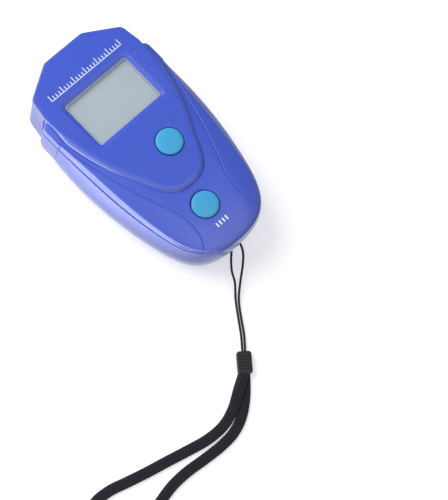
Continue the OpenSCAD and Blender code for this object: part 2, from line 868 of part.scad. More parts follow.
module upper_button() button(upper_x, upper_y, face_z);
module lower_button() button(lower_x, lower_y, front_at(lower_y));
module upper_switch() switch_body(upper_x, upper_y);
module lower_switch() switch_body(lower_x, lower_y);
module upper_plunger() plunger(upper_x, upper_y);
module lower_plunger() plunger(lower_x, lower_y);

// Probe

module probe_collar() {
    color("black")
        seat()
            translate([0, probe_y, 0])
                difference() {
                    union() {
                        disc(collar_d, collar_z, collar_top);
                        disc(collar_flange_d, head_back_z - collar_flange_t, head_back_z);
                    }
                    disc(bobbin_d + 2 * fit_gap, collar_z + collar_lip, collar_top - collar_roof);
                    disc(collar_lip_d, 0, collar_z + 1);
                    disc(core_d + 2 * core_gap, collar_top - collar_roof - 1, collar_top + 1);
                }
}

module probe_core() {
    r = core_d / 2;
    color("silver")
        seat()
            translate([0, probe_y, 0]) {
                disc(core_d, tip_z + r, tip_z + core_h);
                translate([0, 0, tip_z + r])
                    sphere(r);
            }
}

module probe_bobbin() {
    color("ivory")
        seat()
            translate([0, probe_y, bobbin_z])
                difference() {
                    union() {
                        disc(bobbin_hub_d, 0, bobbin_h);
                        disc(bobbin_d, 0, bobbin_flange);
                        disc(bobbin_d, bobbin_h - bobbin_flange, bobbin_h);
                    }
                    disc(core_d + thread_gap, -1, bobbin_h + 1);
                }
}

module probe_coil() {
    color("peru")
        seat()
            translate([0, probe_y, bobbin_z])
                difference() {
                    disc(bobbin_d - 0.8, bobbin_flange + touch_gap, bobbin_h - bobbin_flange - touch_gap);
                    disc(bobbin_hub_d + 2 * touch_gap, 0, bobbin_h);
                }
}

module probe_spring() {
    foot = bobbin_z + bobbin_h + touch_gap;
    spring_h = collar_top - collar_roof - touch_gap - foot;
    color("gray")
        seat()
            translate([0, probe_y, foot])
                coil(spring_d / 2, spring_d / 2, spring_h, spring_turns, spring_wire);
}

module probe_leads() {
    color("firebrick")
        seat()
            for (s = [-1, 1])
                translate([s * (core_d / 2 + 1.2), probe_y, 0])
                    disc(lead_d, collar_top, board_z);
}

// Power supply

module cell(x, y, turn) {
    color("goldenrod")
        seat()
            translate([x, y, cell_z])
                rotate([-90 * turn, 0, 0]) {
                    disc(cell_d, 0, cell_l - cap_l);
                    disc(cap_d, cell_l - cap_l, cell_l);
                }
}

module left_cell() cell(-cell_x, bay_y + contact_t + contact_l, 1);
module right_cell() cell(cell_x, bay_y + contact_t + cell_l, -1);

module contact_plate(x, w, y) {
    translate([x - w / 2, y, channel_z + 1])
        cube([w, contact_t, cell_d - 1.5]);
}

module contact_spring(x, y, turn) {
    translate([x, y, cell_z])
        rotate([-90 * turn, 0, 0])
            coil(3.6, 2.2, contact_l, 3.5, wire_d);
}

module bridge_contact() {
    color("silver")
        seat() {
            contact_plate(0, 2 * bay_half - 2, bay_y);
            contact_spring(-cell_x, bay_y + contact_t - touch_gap, 1);
        }
}

module plus_contact() {
    color("silver")
        seat()
            contact_plate(-cell_x, 8, bay_y + bay_l - contact_t);
}

module minus_contact() {
    color("silver")
        seat() {
            contact_plate(cell_x, 8, bay_y + bay_l - contact_t);
            contact_spring(cell_x, bay_y + bay_l - contact_t + touch_gap, -1);
        }
}

// Screws

module housing_screws() {
    color("dimgray")
        seat()
            for (p = screw_places)
                translate([p.x, p.y, p.z + screw_sink])
                    difference() {
                        union() {
                            disc(screw_head_d, 0, screw_head_h);
                            disc(screw_d, screw_head_h, screw_head_h + screw_l);
                        }
                        for (a = [0, 90])
                            rotate([0, 0, a])
                                translate([0, 0, -1])
                                    slab(slot_w, screw_head_d * 0.6, 1 + slot_depth);
                    }
}

// Strap

module strap_cord() {
    color("black")
        seat()
            sweep(smooth(cord_route, 2), oval(cord_d, cord_d, 8));
}

module strap_crimp() {
    color("black")
        seat()
            translate([crimp_mid.x, crimp_mid.y, 0])
                rotate([0, 0, crimp_turn])
                    linear_extrude(crimp_size.z)
                        rounded(crimp_size.x, crimp_size.y, crimp_r);
}

module strap_band() {
    color("black")
        seat()
            sweep(band_route, oval(band_w, band_t, 8));
}

front_shell();
rear_shell();
battery_door();
display_lens();
display_panel();
display_frame();
contact_strips();
circuit_board();
controller_chip();
upper_button();
lower_button();
upper_switch();
lower_switch();
upper_plunger();
lower_plunger();
probe_collar();
probe_core();
probe_bobbin();
probe_coil();
probe_spring();
probe_leads();
left_cell();
right_cell();
bridge_contact();
plus_contact();
minus_contact();
housing_screws();
strap_cord();
strap_crimp();
strap_band();
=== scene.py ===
"""Looks of the handheld coating thickness gauge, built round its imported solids."""
import math

import bmesh
import bpy
import numpy as np
from mathutils import Matrix, Vector


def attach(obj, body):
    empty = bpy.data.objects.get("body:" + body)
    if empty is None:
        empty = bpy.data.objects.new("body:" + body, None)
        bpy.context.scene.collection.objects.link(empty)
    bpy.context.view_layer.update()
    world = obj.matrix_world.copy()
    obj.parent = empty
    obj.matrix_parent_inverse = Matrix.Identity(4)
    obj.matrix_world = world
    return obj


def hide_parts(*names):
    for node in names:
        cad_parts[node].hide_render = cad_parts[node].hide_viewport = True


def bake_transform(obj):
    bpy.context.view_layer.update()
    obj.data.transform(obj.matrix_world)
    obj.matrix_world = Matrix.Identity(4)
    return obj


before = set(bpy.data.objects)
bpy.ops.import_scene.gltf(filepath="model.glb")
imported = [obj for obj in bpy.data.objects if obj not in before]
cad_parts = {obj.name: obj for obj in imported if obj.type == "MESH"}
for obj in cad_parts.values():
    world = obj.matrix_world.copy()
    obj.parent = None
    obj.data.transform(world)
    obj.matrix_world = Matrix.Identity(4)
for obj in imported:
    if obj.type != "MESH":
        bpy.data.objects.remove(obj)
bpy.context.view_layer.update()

# Sizes of the solids in millimetres, with y running from the tail to the head
LENGTH, FACE_Z, HEAD_BACK_Z, PART_Z, PART_GAP = 102.0, 27.0, 6.0, 21.2, 0.15
BELLY_W, BELLY_Z, RIDGE_W, BACK_W, SHOULDER_W = 61.0, 13.5, 54.6, 45.0, 55.4
NOTCH_W, HEAD_W, HEAD_END_W, HEAD_LEAN, WALL = 50.4, 47.6, 19.6, 1.0, 2.0
SEAM_Y, NOTCH_Y, CORNER_Y = LENGTH - 28.8, LENGTH - 17.3, LENGTH - 8.4
DISPLAY_Y, PROBE_Y = LENGTH - 28.9, LENGTH - 17
RAMP_Y, RAMP_L = LENGTH - 38, 8.0
RIDGE_Z, VALLEY_Z, RIDGE_EDGE, RIDGE_POWER = FACE_Z - 3.6, FACE_Z - 1.3, 0.4, 1.6
CEILING_Z, ROOF_T = RIDGE_Z - 1.6, 2.0
TAIL_DROP, DROP_Y, PANEL_Y = 1.4, 45.0, 29.0
SEAM_STEP, SHOULDER_IN, BACK_IN = 0.4, 1.0, 0.5
SHOULDER_R, SHOULDER_TURN, SHOULDER_EASE, CORNER_R = (1.9, 3.3), 0.87, 0.6, (1.6, 1.4)
WINDOW_W, WINDOW_L, WINDOW_R, WINDOW_BEVEL, RIM_T = 32.0, 21.0, 1.2, 1.6, 1.3
LENS_W, LENS_L, LENS_GAP = 36.4, 25.4, 0.1
BUTTON_D, BUTTON_RISE, BUTTON_GAP, FLANGE_RIM = 11.0, 1.0, 0.3, 1.2
UPPER, LOWER = (4.6, 46.3), (-2.2, 19.0)
DOOR_HALF, DOOR_END, DOOR_T, DOOR_GAP, CHANNEL_Z = 13.2, 62.5, 1.7, 0.2, 1.9
BAY_HALF, BAY_Y, BAY_L, BAY_ROOF_Z, BAY_WALL = 11.3, 9.5, 51.0, 12.9, 1.2
EYE_HALF, EYE_END, EYE_FOOT, EYE_TOP, EYE_WALL = 4, 5, 4.4, 10, 1.6
EYE_MID, BAR_Y, BAR_R = 7.2, 1.9, 0.9
SCREWS = [(s * x, y, z) for s in (-1, 1) for x, y, z in ((17.5, 30, 0), (17, 90, HEAD_BACK_Z))]
COLLAR_R = 8.0

# Side curves of the housing, as shares of a half width and of a length
RIDGE_CURVE = [(0, 0.014), (0.33, 0.03), (0.575, 0.096), (0.74, 0.207), (0.84, 0.372), (0.908, 0.58),
               (0.95, 0.8), (1, 0.997)]
BELLY_CURVE = [(0, 0), (0.344, 0.018), (0.59, 0.08), (0.748, 0.193), (0.872, 0.372), (0.961, 0.58),
               (1, 0.8), (0.98, 0.997)]
BACK_CURVE = [(0, 0.055), (0.378, 0.072), (0.622, 0.124), (0.778, 0.22), (0.889, 0.386), (0.969, 0.58),
              (1, 0.8), (1, 0.997)]
PANEL_CURVE = [(0, 0), (0.239, 0.022), (0.418, 0.1), (0.578, 0.252), (0.762, 0.43), (0.897, 0.628),
               (0.972, 0.807), (1, 1)]
CREASE_CURVE = [(0.974, 1.014), (0.945, 0.939), (0.908, 0.843), (0.842, 0.746), (0.769, 0.635), (0.681, 0.535),
                (0.535, 0.387), (0.454, 0.311), (0.429, 0.229), (0.451, 0.149), (0.513, 0.099)]
CURVE_STEPS = 14
CURVE_END = 7 * CURVE_STEPS

# Route of the thin strap cord, from the crimp round the eye's bar and back, and of the woven band's loop;
# behind the tail the cord keeps clear of the battery door's way out
TURN_R = 2.2
CORD_ROUTE = [(-26.6, -31.3, 1.5), (-21.8, -25.8, 0.6), (-17.8, -20.2, 0.6), (-13.6, -14.3, 1.2),
              (-9.3, -9.2, 2.6), (-7.2, -5, 4), (-4.6, -1.6, 5.7), (-2.4, 0.8, EYE_MID)]
CORD_ROUTE += [(TURN_R * math.cos(math.radians(a)), BAR_Y + TURN_R * math.sin(math.radians(a)), EYE_MID)
               for a in (165, 130, 90, 50, 15)]
CORD_ROUTE += [(2.2, 0.4, EYE_MID), (0.9, -2.8, 5.7), (-2.2, -6.2, 3.9), (-7.4, -10.4, 2.3), (-12.6, -15.1, 1),
               (-16.9, -20.9, 0.6), (-20.8, -26.5, 0.6), (-25.9, -32.1, 1.5)]
BAND_ROUTE = [(-31.4, -37.7, 0.8), (-38, -44.4, 0.8), (-44.5, -49, 0.8), (-51, -51.3, 0.8), (-58, -51.6, 0.8),
              (-66, -50.8, 0.8), (-75, -49.6, 0.8), (-83, -49.6, 0.8), (-92, -51.2, 0.8), (-101, -53, 0.8),
              (-108, -52.9, 0.8), (-114.5, -49.5, 0.8), (-117.5, -43.5, 0.8), (-114.5, -37.3, 0.8),
              (-108, -34, 0.8), (-101, -34.4, 0.8), (-94, -36.6, 0.8), (-86, -39.1, 0.8), (-77, -41.6, 0.8),
              (-68, -44.2, 0.8), (-60, -46.2, 0.8), (-52, -46.6, 0.9), (-45, -44.6, 1.5), (-38, -40.6, 2.2),
              (-31.8, -37.3, 2.3)]
LINE_STEPS = 8
CORD_D, CORD_POINTS, CORD_STEP = 1.0, 12, 0.22
BRAID_STRANDS, BRAID_PITCH, BRAID_IN, BRAID_DEPTH = 2, 1.1, -0.05, 0.08
BAND_W, BAND_T, BAND_POINTS, BAND_STEP = 4.4, 1.4, 32, 0.25
TWILL_PITCH, TWILL_SLANT, TWILL_EDGE, TWILL_FLAT = 1.5, 1.1, 0.015, 0.075

TO_FRAME = Matrix.Scale(0.001, 4) @ Matrix.Translation((0, -LENGTH / 2, 0))


# Curves

def mix(a, b, t):
    return a + (b - a) * t


def smoothstep(a, b, x):
    t = np.clip((np.asarray(x, float) - a) / (b - a), 0, 1)
    return t * t * (3 - 2 * t)


def smooth(points, n):
    """Smooth curve through points, n steps from each to the next, as in the solids."""
    p = np.array(points, float)
    out = []
    for i in range(len(p) - 1):
        a, b, c, d = p[max(i - 1, 0)], p[i], p[i + 1], p[min(i + 2, len(p) - 1)]
        for k in range(n):
            t = k / n
            out.append(0.5 * (2 * b + (c - a) * t + (2 * a - 5 * b + 4 * c - d) * t * t
                              + (3 * b - a - 3 * c + d) * t ** 3))
    return np.array(out + [p[-1]])


def run_length(p):
    """Distance along a line of points, up to each of them."""
    return np.concatenate([[0], np.cumsum(np.linalg.norm(np.diff(p, axis=0), axis=1))])


def spaced(points, step):
    """The same line with points an even step apart."""
    p = np.array(points, float)
    s = run_length(p)
    t = np.linspace(0, s[-1], max(2, round(s[-1] / step) + 1))
    return np.stack([np.interp(t, s, p[:, k]) for k in range(p.shape[1])], 1)


def inset(half, d):
    """Half outline moved inwards by d, one distance or one a point; it starts on the middle line."""
    h = np.array(half, float)
    before = np.vstack([[-h[1, 0], h[1, 1]], h[:-1]])
    after = np.vstack([h[1:], [-h[-1, 0], h[-1, 1]]])
    e1, e2 = h - before, after - h
    e1 /= np.linalg.norm(e1, axis=1)[:, None]
    e2 /= np.linalg.norm(e2, axis=1)[:, None]
    n1 = np.stack([-e1[:, 1], e1[:, 0]], 1)
    n = n1 + np.stack([-e2[:, 1], e2[:, 0]], 1)
    n /= np.linalg.norm(n, axis=1)[:, None]
    return h + n * (np.broadcast_to(d, len(h)) / (n * n1).sum(1))[:, None]


def eased(a, b, c, reach, n=8):
    """Points round the corner at b, between a and c."""
    a, b, c = (np.array(q, float) for q in (a, b, c))
    start = b + (a - b) / np.linalg.norm(a - b) * reach
    end = b + (c - b) / np.linalg.norm(c - b) * reach
    return [mix(mix(start, b, t), mix(b, end, t), t) for t in np.linspace(0, 1, n + 1)]


def from_middle(curve):
    """Smooth half outline that crosses the middle line at a right angle."""
    x, y = curve[1]
    return smooth([(-x, y)] + list(curve), CURVE_STEPS)[CURVE_STEPS:]


def grip_half(curve, half, shoulder, notch, ends):
    """Half outline of the grip: its side curve, the shoulder past the seam, and the ends at the notch."""
    side = from_middle([(x * half, y * SEAM_Y) for x, y in curve])
    low, top = SEAM_Y + SEAM_STEP, NOTCH_Y - SHOULDER_R[1]
    turn = (mix(notch, shoulder, SHOULDER_TURN), NOTCH_Y - SHOULDER_R[0])
    points = [(shoulder, mix(low, top, t)) for t in (0, 0.3, 0.6, 0.85)]
    points += eased((shoulder, low), (shoulder, top), turn, SHOULDER_EASE, 3)
    points += eased((shoulder, top), turn, (notch, NOTCH_Y), SHOULDER_EASE, 3)
    return np.vstack([side, points, [(notch - d, y) for d, y in ends]])


def wall_half(z, ends):
    """Half outline of the housing's side at height z, as in the solids."""
    belly = grip_half(BELLY_CURVE, BELLY_W / 2, BELLY_W / 2 - SHOULDER_IN, NOTCH_W / 2, ends)
    if z > BELLY_Z:
        ridge = grip_half(RIDGE_CURVE, RIDGE_W / 2, SHOULDER_W / 2, NOTCH_W / 2, ends)
        return mix(belly, ridge, ((z - BELLY_Z) / (RIDGE_Z - BELLY_Z)) ** RIDGE_POWER)
    back = grip_half(BACK_CURVE, BACK_W / 2, BACK_W / 2 - BACK_IN, BACK_W / 2 - 2 * BACK_IN, ends)
    return mix(belly, back, 1 - math.sqrt(1 - ((BELLY_Z - z) / BELLY_Z) ** 2))


def drop(y):
    """How far the front falls away towards the tail."""
    return TAIL_DROP * (np.maximum(0, DROP_Y - np.asarray(y, float)) / DROP_Y) ** 2


def valley_z(y):
    """Height of the front's middle, beside the panel."""
    return VALLEY_Z - float(drop(y))


def at(half, z):
    h = np.asarray(half, float)
    return np.column_stack([h, np.broadcast_to(z, len(h))])


def shrunk(half, d):
    """Half outline drawn in by d at its sides and its tail end, with no folds."""
    h = np.array(half, float)
    return np.column_stack([h[:, 0] * (1 - d / h[:, 0].max()), d + h[:, 1] * (1 - d / h[:, 1].max())])


CROWN_ENDS = [(0, NOTCH_Y - 0.3), (2, NOTCH_Y + 3)]
RIDGE_LINE = wall_half(RIDGE_Z - RIDGE_EDGE, CROWN_ENDS)
CROWN_RISE = smooth([(0, -0.4), (0.4, 0.345), (1.3, 0.805), (3.4, 1.38), (6.4, 1.955), (10, 2.3)], n=5)
HEAD_POINTS = [(NOTCH_W / 2, NOTCH_Y), (HEAD_W / 2, CORNER_Y), (HEAD_END_W / 2, LENGTH), (0, LENGTH)]
PANEL_LINE = np.vstack([from_middle([(x * NOTCH_W / 2, mix(PANEL_Y, NOTCH_Y, y)) for x, y in PANEL_CURVE]),
                        eased(*HEAD_POINTS[:3], CORNER_R[0]), eased(*HEAD_POINTS[1:], CORNER_R[1])])

# The slope in from the ridge runs on to the middle at the tail and ends under the panel at the shoulders
CROWN_NEAR, SHOULDER_CUT = 0.9, 0.62
CROWN_REACH = 1 - SHOULDER_CUT * smoothstep(SEAM_Y - 26, SEAM_Y - 6, RIDGE_LINE[:, 1])
CROWN_WAY = mix(inset(RIDGE_LINE, 1) - RIDGE_LINE, np.array([-1.0, 0]),
                smoothstep(SEAM_Y - 14, SEAM_Y - 4, RIDGE_LINE[:, 1])[:, None])
CROWN_WAY /= np.linalg.norm(CROWN_WAY, axis=1)[:, None]


def crown_z(x, y):
    """Height of the front surface round the panel."""
    a, b = RIDGE_LINE[:-1], RIDGE_LINE[1:]
    p = np.array([abs(x), y])
    t = np.clip(((p - a) * (b - a)).sum(1) / ((b - a) ** 2).sum(1), 0, 1)
    d = np.linalg.norm(a + (b - a) * t[:, None] - p, axis=1).min()
    return RIDGE_Z + np.interp(d, CROWN_RISE[:, 0], CROWN_RISE[:, 1]) - float(drop(y))


# Meshes in millimetres

WELD, SLIVER = 0.002, 0.001
GROOVE_SIDES = 6


def new_object(name, verts, faces):
    mesh = bpy.data.meshes.new(name)
    mesh.from_pydata([tuple(map(float, v)) for v in verts], [], [tuple(map(int, f)) for f in faces])
    obj = bpy.data.objects.new(name, mesh)
    bpy.context.scene.collection.objects.link(obj)
    bm = bmesh.new()
    bm.from_mesh(mesh)
    bmesh.ops.recalc_face_normals(bm, faces=bm.faces)
    if bm.calc_volume(signed=True) < 0:
        bmesh.ops.reverse_faces(bm, faces=bm.faces)
    bm.to_mesh(mesh)
    bm.free()
    return obj


def loft(name, levels):
    """Solid through half outlines of 3-D points, from the bottom up."""
    n = len(levels[0])
    m = 2 * n - 1
    verts = [p for h in levels for p in list(h) + [(-x, y, z) for x, y, z in h[:0:-1]]]
    faces = []
    for k in range(len(levels) - 1):
        for j in range(m):
            a, b = k * m + j, k * m + (j + 1) % m
            faces.append((a, b, b + m, a + m))
    bottom = [(0, 1, m - 1)] + [(j, j + 1, m - j - 1, m - j) for j in range(1, n - 1)]
    top = (len(levels) - 1) * m
    return new_object(name, verts, faces + bottom + [[i + top for i in f] for f in bottom])


def skin(name, rings):
    """Solid through closed rings of points, with its first and last ring as ends."""
    n, m = len(rings), len(rings[0])
    faces = [(i * m + j, i * m + (j + 1) % m, (i + 1) * m + (j + 1) % m, (i + 1) * m + j)
             for i in range(n - 1) for j in range(m)]
    return new_object(name, [p for r in rings for p in r], faces + [range(m), range((n - 1) * m, n * m)])


def prism(points, z0, z1):
    return skin("cutter", [[(x, y, z) for x, y in points] for z in (z0, z1)])


def along_y(half, y0, y1):
    """Bar along the housing, from the right half of its profile of (x, z)."""
    profile = [(-x, z) for x, z in half[::-1]] + half
    return skin("cutter", [[(x, y, z) for x, z in profile] for y in (y0, y1)])


def both_sides(half):
    return list(map(tuple, half)) + [(-x, y) for x, y in half[::-1] if x > 1e-6]


def box(x0, x1, y0, y1, z0, z1):
    return prism([(x0, y0), (x1, y0), (x1, y1), (x0, y1)], z0, z1)


def round_point(x, y, r, j, n):
    """Point j of n on a circle."""
    a = 2 * math.pi * j / n
    return x + r * math.cos(a), y + r * math.sin(a)


def lathe(name, profile, x, y, n=72):
    """Turned solid: rings of a profile of (radius, z), closed at both ends."""
    return skin(name, [[(*round_point(x, y, r, j, n), z) for j in range(n)] for r, z in profile])


def turned_ring(name, profile, x, y, n=72):
    """Turned solid with a hole: the profile of (radius, z) closes on itself."""
    m = len(profile)
    verts = [(*round_point(x, y, r, j, n), z) for j in range(n) for r, z in profile]
    faces = [(j * m + k, j * m + (k + 1) % m, (j + 1) % n * m + (k + 1) % m, (j + 1) % n * m + k)
             for j in range(n) for k in range(m)]
    return new_object(name, verts, faces)


def rounded(w, l, r, x=0.0, y=0.0, n=6):
    """Rectangle with round corners."""
    out = []
    for cx, cy, a0 in ((1, 1, 0), (-1, 1, 90), (-1, -1, 180), (1, -1, 270)):
        for k in range(n + 1):
            a = math.radians(a0 + 90 * k / n)
            out.append((x + cx * (w / 2 - r) + r * math.cos(a), y + cy * (l / 2 - r) + r * math.sin(a)))
    return out


def sweep(name, path, section, swell=None, upright=(0, 0, 1)):
    """Tube along a path; the section's y stands up. swell gives each section point's share of extra size."""
    p = np.array(path, float)
    t = np.gradient(p, axis=0)
    t /= np.linalg.norm(t, axis=1)[:, None]
    side = np.cross(t, upright)
    side /= np.linalg.norm(side, axis=1)[:, None]
    up = np.cross(side, t)
    s = run_length(p)
    rings = []
    for i in range(len(p)):
        ring = []
        for j, (u, v) in enumerate(section):
            k = 1 + (swell(s[i], j) if swell else 0)
            ring.append(p[i] + side[i] * u * k + up[i] * v * k)
        rings.append(ring)
    return skin(name, rings)


def oval(w, t, n, turn=0.0):
    angles = [2 * math.pi * j / n + turn for j in range(n)]
    return [(w / 2 * math.cos(a), t / 2 * math.sin(a)) for a in angles]


def groove(path, r, upright=(0, 0, 1)):
    return sweep("cutter", path, oval(2 * r, 2 * r, GROOVE_SIDES, math.pi / GROOVE_SIDES), None, upright)


def combine(obj, others, how="DIFFERENCE"):
    """Takes the others away from a solid, or joins or intersects them; the others are used up."""
    for other in others:
        m = obj.modifiers.new("combine", "BOOLEAN")
        m.operation, m.object, m.solver = how, other, "EXACT"
        mesh = bpy.data.meshes.new_from_object(obj.evaluated_get(bpy.context.evaluated_depsgraph_get()))
        obj.modifiers.clear()
        old, obj.data = obj.data, mesh
        bpy.data.meshes.remove(old)
        bpy.data.meshes.remove(other.data)
    return obj


def copy(obj):
    twin = obj.copy()
    twin.data = obj.data.copy()
    bpy.context.scene.collection.objects.link(twin)
    return twin


def finished(obj, name, body, mat, nodes=(), sharp=34):
    """Puts a piece made in millimetres into the frame, shades it and seats it on its body, if it has one."""
    bm = bmesh.new()
    bm.from_mesh(obj.data)
    bmesh.ops.remove_doubles(bm, verts=bm.verts, dist=WELD)
    bmesh.ops.dissolve_degenerate(bm, edges=bm.edges, dist=SLIVER)
    bm.to_mesh(obj.data)
    bm.free()
    obj.data.transform(TO_FRAME)
    obj.name = obj.data.name = name
    obj.data.materials.clear()
    obj.data.materials.append(mat)
    for p in obj.data.polygons:
        p.use_smooth = True
    obj.data.set_sharp_from_angle(angle=math.radians(sharp))
    m = obj.modifiers.new("normals", "WEIGHTED_NORMAL")
    m.keep_sharp = True
    if body:
        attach(obj, body)
    if nodes:
        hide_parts(*nodes)
    return obj


# Materials

def node_material(name):
    mat = bpy.data.materials.new(name)
    mat.use_nodes = True
    tree = mat.node_tree
    return mat, tree, tree.nodes["Principled BSDF"]


def link(tree, a, b):
    tree.links.new(a, b)


def add(tree, kind, **values):
    """New node, with the values of its inputs or settings."""
    node = tree.nodes.new(kind)
    for key, value in values.items():
        if key in node.inputs:
            node.inputs[key].default_value = value
        else:
            setattr(node, key, value)
    return node


def set_inputs(node, values):
    for key, value in values.items():
        node.inputs[key].default_value = value


def ranged(tree, value, low, high, start=0.3, end=0.7):
    """Value that runs from low to high as another goes from start to end."""
    node = add(tree, "ShaderNodeMapRange",
               **{"From Min": start, "From Max": end, "To Min": low, "To Max": high})
    link(tree, value, node.inputs["Value"])
    return node.outputs["Result"]


def tinted(tree, value, color, low, high):
    """Colour that runs from low to high times a colour."""
    node = add(tree, "ShaderNodeMix", data_type="RGBA")
    link(tree, value, node.inputs["Factor"])
    node.inputs["A"].default_value = [c * low for c in color] + [1]
    node.inputs["B"].default_value = [min(1, c * high) for c in color] + [1]
    return node.outputs["Result"]


def noise(tree, place, scale, detail):
    node = add(tree, "ShaderNodeTexNoise", Scale=scale, Detail=detail)
    link(tree, place, node.inputs["Vector"])
    return node.outputs["Fac"]


def raised(tree, bsdf, height, strength, depth):
    """Relief in a material."""
    node = add(tree, "ShaderNodeBump", Strength=strength, Distance=depth)
    link(tree, height, node.inputs["Height"])
    link(tree, node.outputs["Normal"], bsdf.inputs["Normal"])


def mixed(tree, factor, first, second):
    """Shader that goes from the first to the second as the factor goes from 0 to 1."""
    node = add(tree, "ShaderNodeMixShader")
    for end, socket in ((factor, "Fac"), (first, 1), (second, 2)):
        link(tree, end, node.inputs[socket])
    return node.outputs[0]


def surface(name, color, rough, metal=0.0, patch=90, grain=2600, spread=0.07, rough_spread=0.07,
            bump=0.06, depth=2e-5, coat=0.0, stretch=(1, 1, 1), specular=0.5):
    """Moulded, rolled or painted surface: slow colour patches, fine grain in the gloss, and a little relief."""
    mat, tree, bsdf = node_material(name)
    mapping = add(tree, "ShaderNodeMapping", Scale=stretch)
    link(tree, add(tree, "ShaderNodeTexCoord").outputs["Object"], mapping.inputs["Vector"])
    slow = noise(tree, mapping.outputs["Vector"], patch, 3.0)
    fine = noise(tree, mapping.outputs["Vector"], grain, 4.0)
    link(tree, tinted(tree, slow, color, 1 - spread, 1 + spread), bsdf.inputs["Base Color"])
    link(tree, ranged(tree, fine, rough - rough_spread, rough + rough_spread), bsdf.inputs["Roughness"])
    raised(tree, bsdf, fine, bump, depth)
    set_inputs(bsdf, {"Metallic": metal, "Specular IOR Level": specular})
    if coat:
        set_inputs(bsdf, {"Coat Weight": coat, "Coat Roughness": 0.2})
    return mat


BLUE = surface("blue_plastic", (0.034, 0.088, 0.61), 0.3, patch=60, grain=3200, spread=0.03,
               rough_spread=0.04, bump=0.05, depth=3e-5, coat=0.6, specular=0.9)
BUTTON = surface("button_plastic", (0.055, 0.385, 0.7), 0.3, patch=200, spread=0.05)
BLACK = surface("black_plastic", (0.014, 0.014, 0.016), 0.45, grain=1800, bump=0.15)
WHITE = surface("white_plastic", (0.75, 0.74, 0.7), 0.5)
PRINT = surface("white_print", (0.78, 0.84, 0.92), 0.55, patch=900, spread=0.06)
DISPLAY = surface("display", (0.37, 0.45, 0.52), 0.25, patch=70, grain=900, spread=0.03,
                  rough_spread=0.03, bump=0.008)
# Pale colour of the ring at the window's edge: a painted highlight standing in for the light on the lens's edge
EDGE_HIGHLIGHT_PAINT = surface("painted_edge_highlight", (0.42, 0.49, 0.7), 0.25)
RUBBER = surface("grey_rubber", (0.05, 0.05, 0.055), 0.7)
BOARD = surface("board", (0.02, 0.14, 0.05), 0.4, patch=500, spread=0.2)
PLATED = surface("plated_steel", (0.6, 0.6, 0.58), 0.3, 1.0, stretch=(1, 8, 1))
HARD = surface("hard_steel", (0.62, 0.62, 0.63), 0.14, 1.0, rough_spread=0.04)
COPPER = surface("copper", (0.55, 0.2, 0.08), 0.3, 1.0, patch=1500, spread=0.15, stretch=(1, 1, 6))
LEAD = surface("lead_plastic", (0.35, 0.02, 0.02), 0.4)
CELL = surface("cell", (0.14, 0.13, 0.12), 0.3, 0.4, patch=300)
DARK = surface("dark_steel", (0.05, 0.05, 0.055), 0.35, 1.0, patch=900, spread=0.2, stretch=(6, 1, 1))


def lens_material():
    """Clear plastic with faint smears."""
    mat, tree, bsdf = node_material("lens")
    smear = noise(tree, add(tree, "ShaderNodeTexCoord").outputs["Object"], 120.0, 2.0)
    link(tree, tinted(tree, smear, (0.8, 0.86, 0.88), 0.96, 1.04), bsdf.inputs["Base Color"])
    link(tree, ranged(tree, smear, 0.04, 0.1), bsdf.inputs["Roughness"])
    set_inputs(bsdf, {"Alpha": 0.16, "IOR": 1.49})
    return mat


def woven_material():
    """Black yarn with fibres in the relief: painted shade darkens the gaps between the modelled ribs, and a
    painted highlight makes the ribs paler.
    """
    mat, tree, bsdf = node_material("strap")
    fibre = noise(tree, add(tree, "ShaderNodeTexCoord").outputs["Object"], 5200.0, 3.0)
    # Painted shade and highlight: the colour is darker in the hollows of the relief and paler on its ridges, by
    # the mesh's pointiness
    ribs = ranged(tree, add(tree, "ShaderNodeNewGeometry").outputs["Pointiness"], 0.0, 1.0, 0.46, 0.54)
    link(tree, tinted(tree, ribs, (0.008, 0.008, 0.012), 0.15, 3.0), bsdf.inputs["Base Color"])
    link(tree, ranged(tree, fibre, 0.7, 0.95), bsdf.inputs["Roughness"])
    raised(tree, bsdf, fibre, 0.35, 6e-5)
    set_inputs(bsdf, {"Sheen Weight": 0.04, "Sheen Roughness": 0.5, "Specular IOR Level": 0.35})
    return mat


LENS, WOVEN = lens_material(), woven_material()

# Camera at the photograph's angle

RIGHT = Vector((0.7083, -0.6931, 0.134))
DOWN = Vector((-0.6499, -0.7143, -0.2596))
AHEAD = Vector((0.2756, 0.0968, -0.9564))
STANDPOINT = (-0.15677, -0.10158, 0.53585)
camera_data = bpy.data.cameras.new("camera")
camera = bpy.data.objects.new("camera", camera_data)
bpy.context.scene.collection.objects.link(camera)
bpy.context.scene.camera = camera
camera_data.lens, camera_data.sensor_width = 100.8, 36.0
camera_data.clip_start, camera_data.clip_end = 0.02, 10.0
camera_turn = Matrix((RIGHT, -DOWN, -AHEAD)).transposed().to_4x4()
camera.matrix_world = Matrix.Translation(STANDPOINT) @ camera_turn

# Strap

CRIMP_X, CRIMP_Y, CRIMP_TURN = -28.8, -34.6, math.radians(50)
CRIMP_L, CRIMP_W, CRIMP_R, CRIMP_MIN_R = 9, 6, 1.2, 0.4
CRIMP_LEVELS = [(0.9, 0.0), (0.35, 0.12), (0.08, 0.45), (0, 0.9), (0, 2.3), (0.08, 2.75), (0.35, 3.08),
                (0.9, 3.2)]
CRIMP_GROOVES, GROOVE_Z, GROOVE_R, GROOVE_REACH = (-2.4, -1.2, 0, 1.2, 2.4), 3.32, 0.42, 4
TUBE_SHARP = 60


def braid(s, j):
    """Relief of the thin cord: strands that wind round it."""
    return BRAID_IN + BRAID_DEPTH * math.cos(2 * math.pi * (s / BRAID_PITCH + BRAID_STRANDS * j / CORD_POINTS))


def twill(s, j):
    """Relief of the woven band: ribs that slant to both sides, deepest on its flats."""
    turn = 2 * math.pi * j / BAND_POINTS
    depth = TWILL_EDGE + TWILL_FLAT * math.sin(turn) ** 2
    return depth * (math.cos(2 * math.pi * (s / TWILL_PITCH + TWILL_SLANT * abs(math.cos(turn)))) - 1)


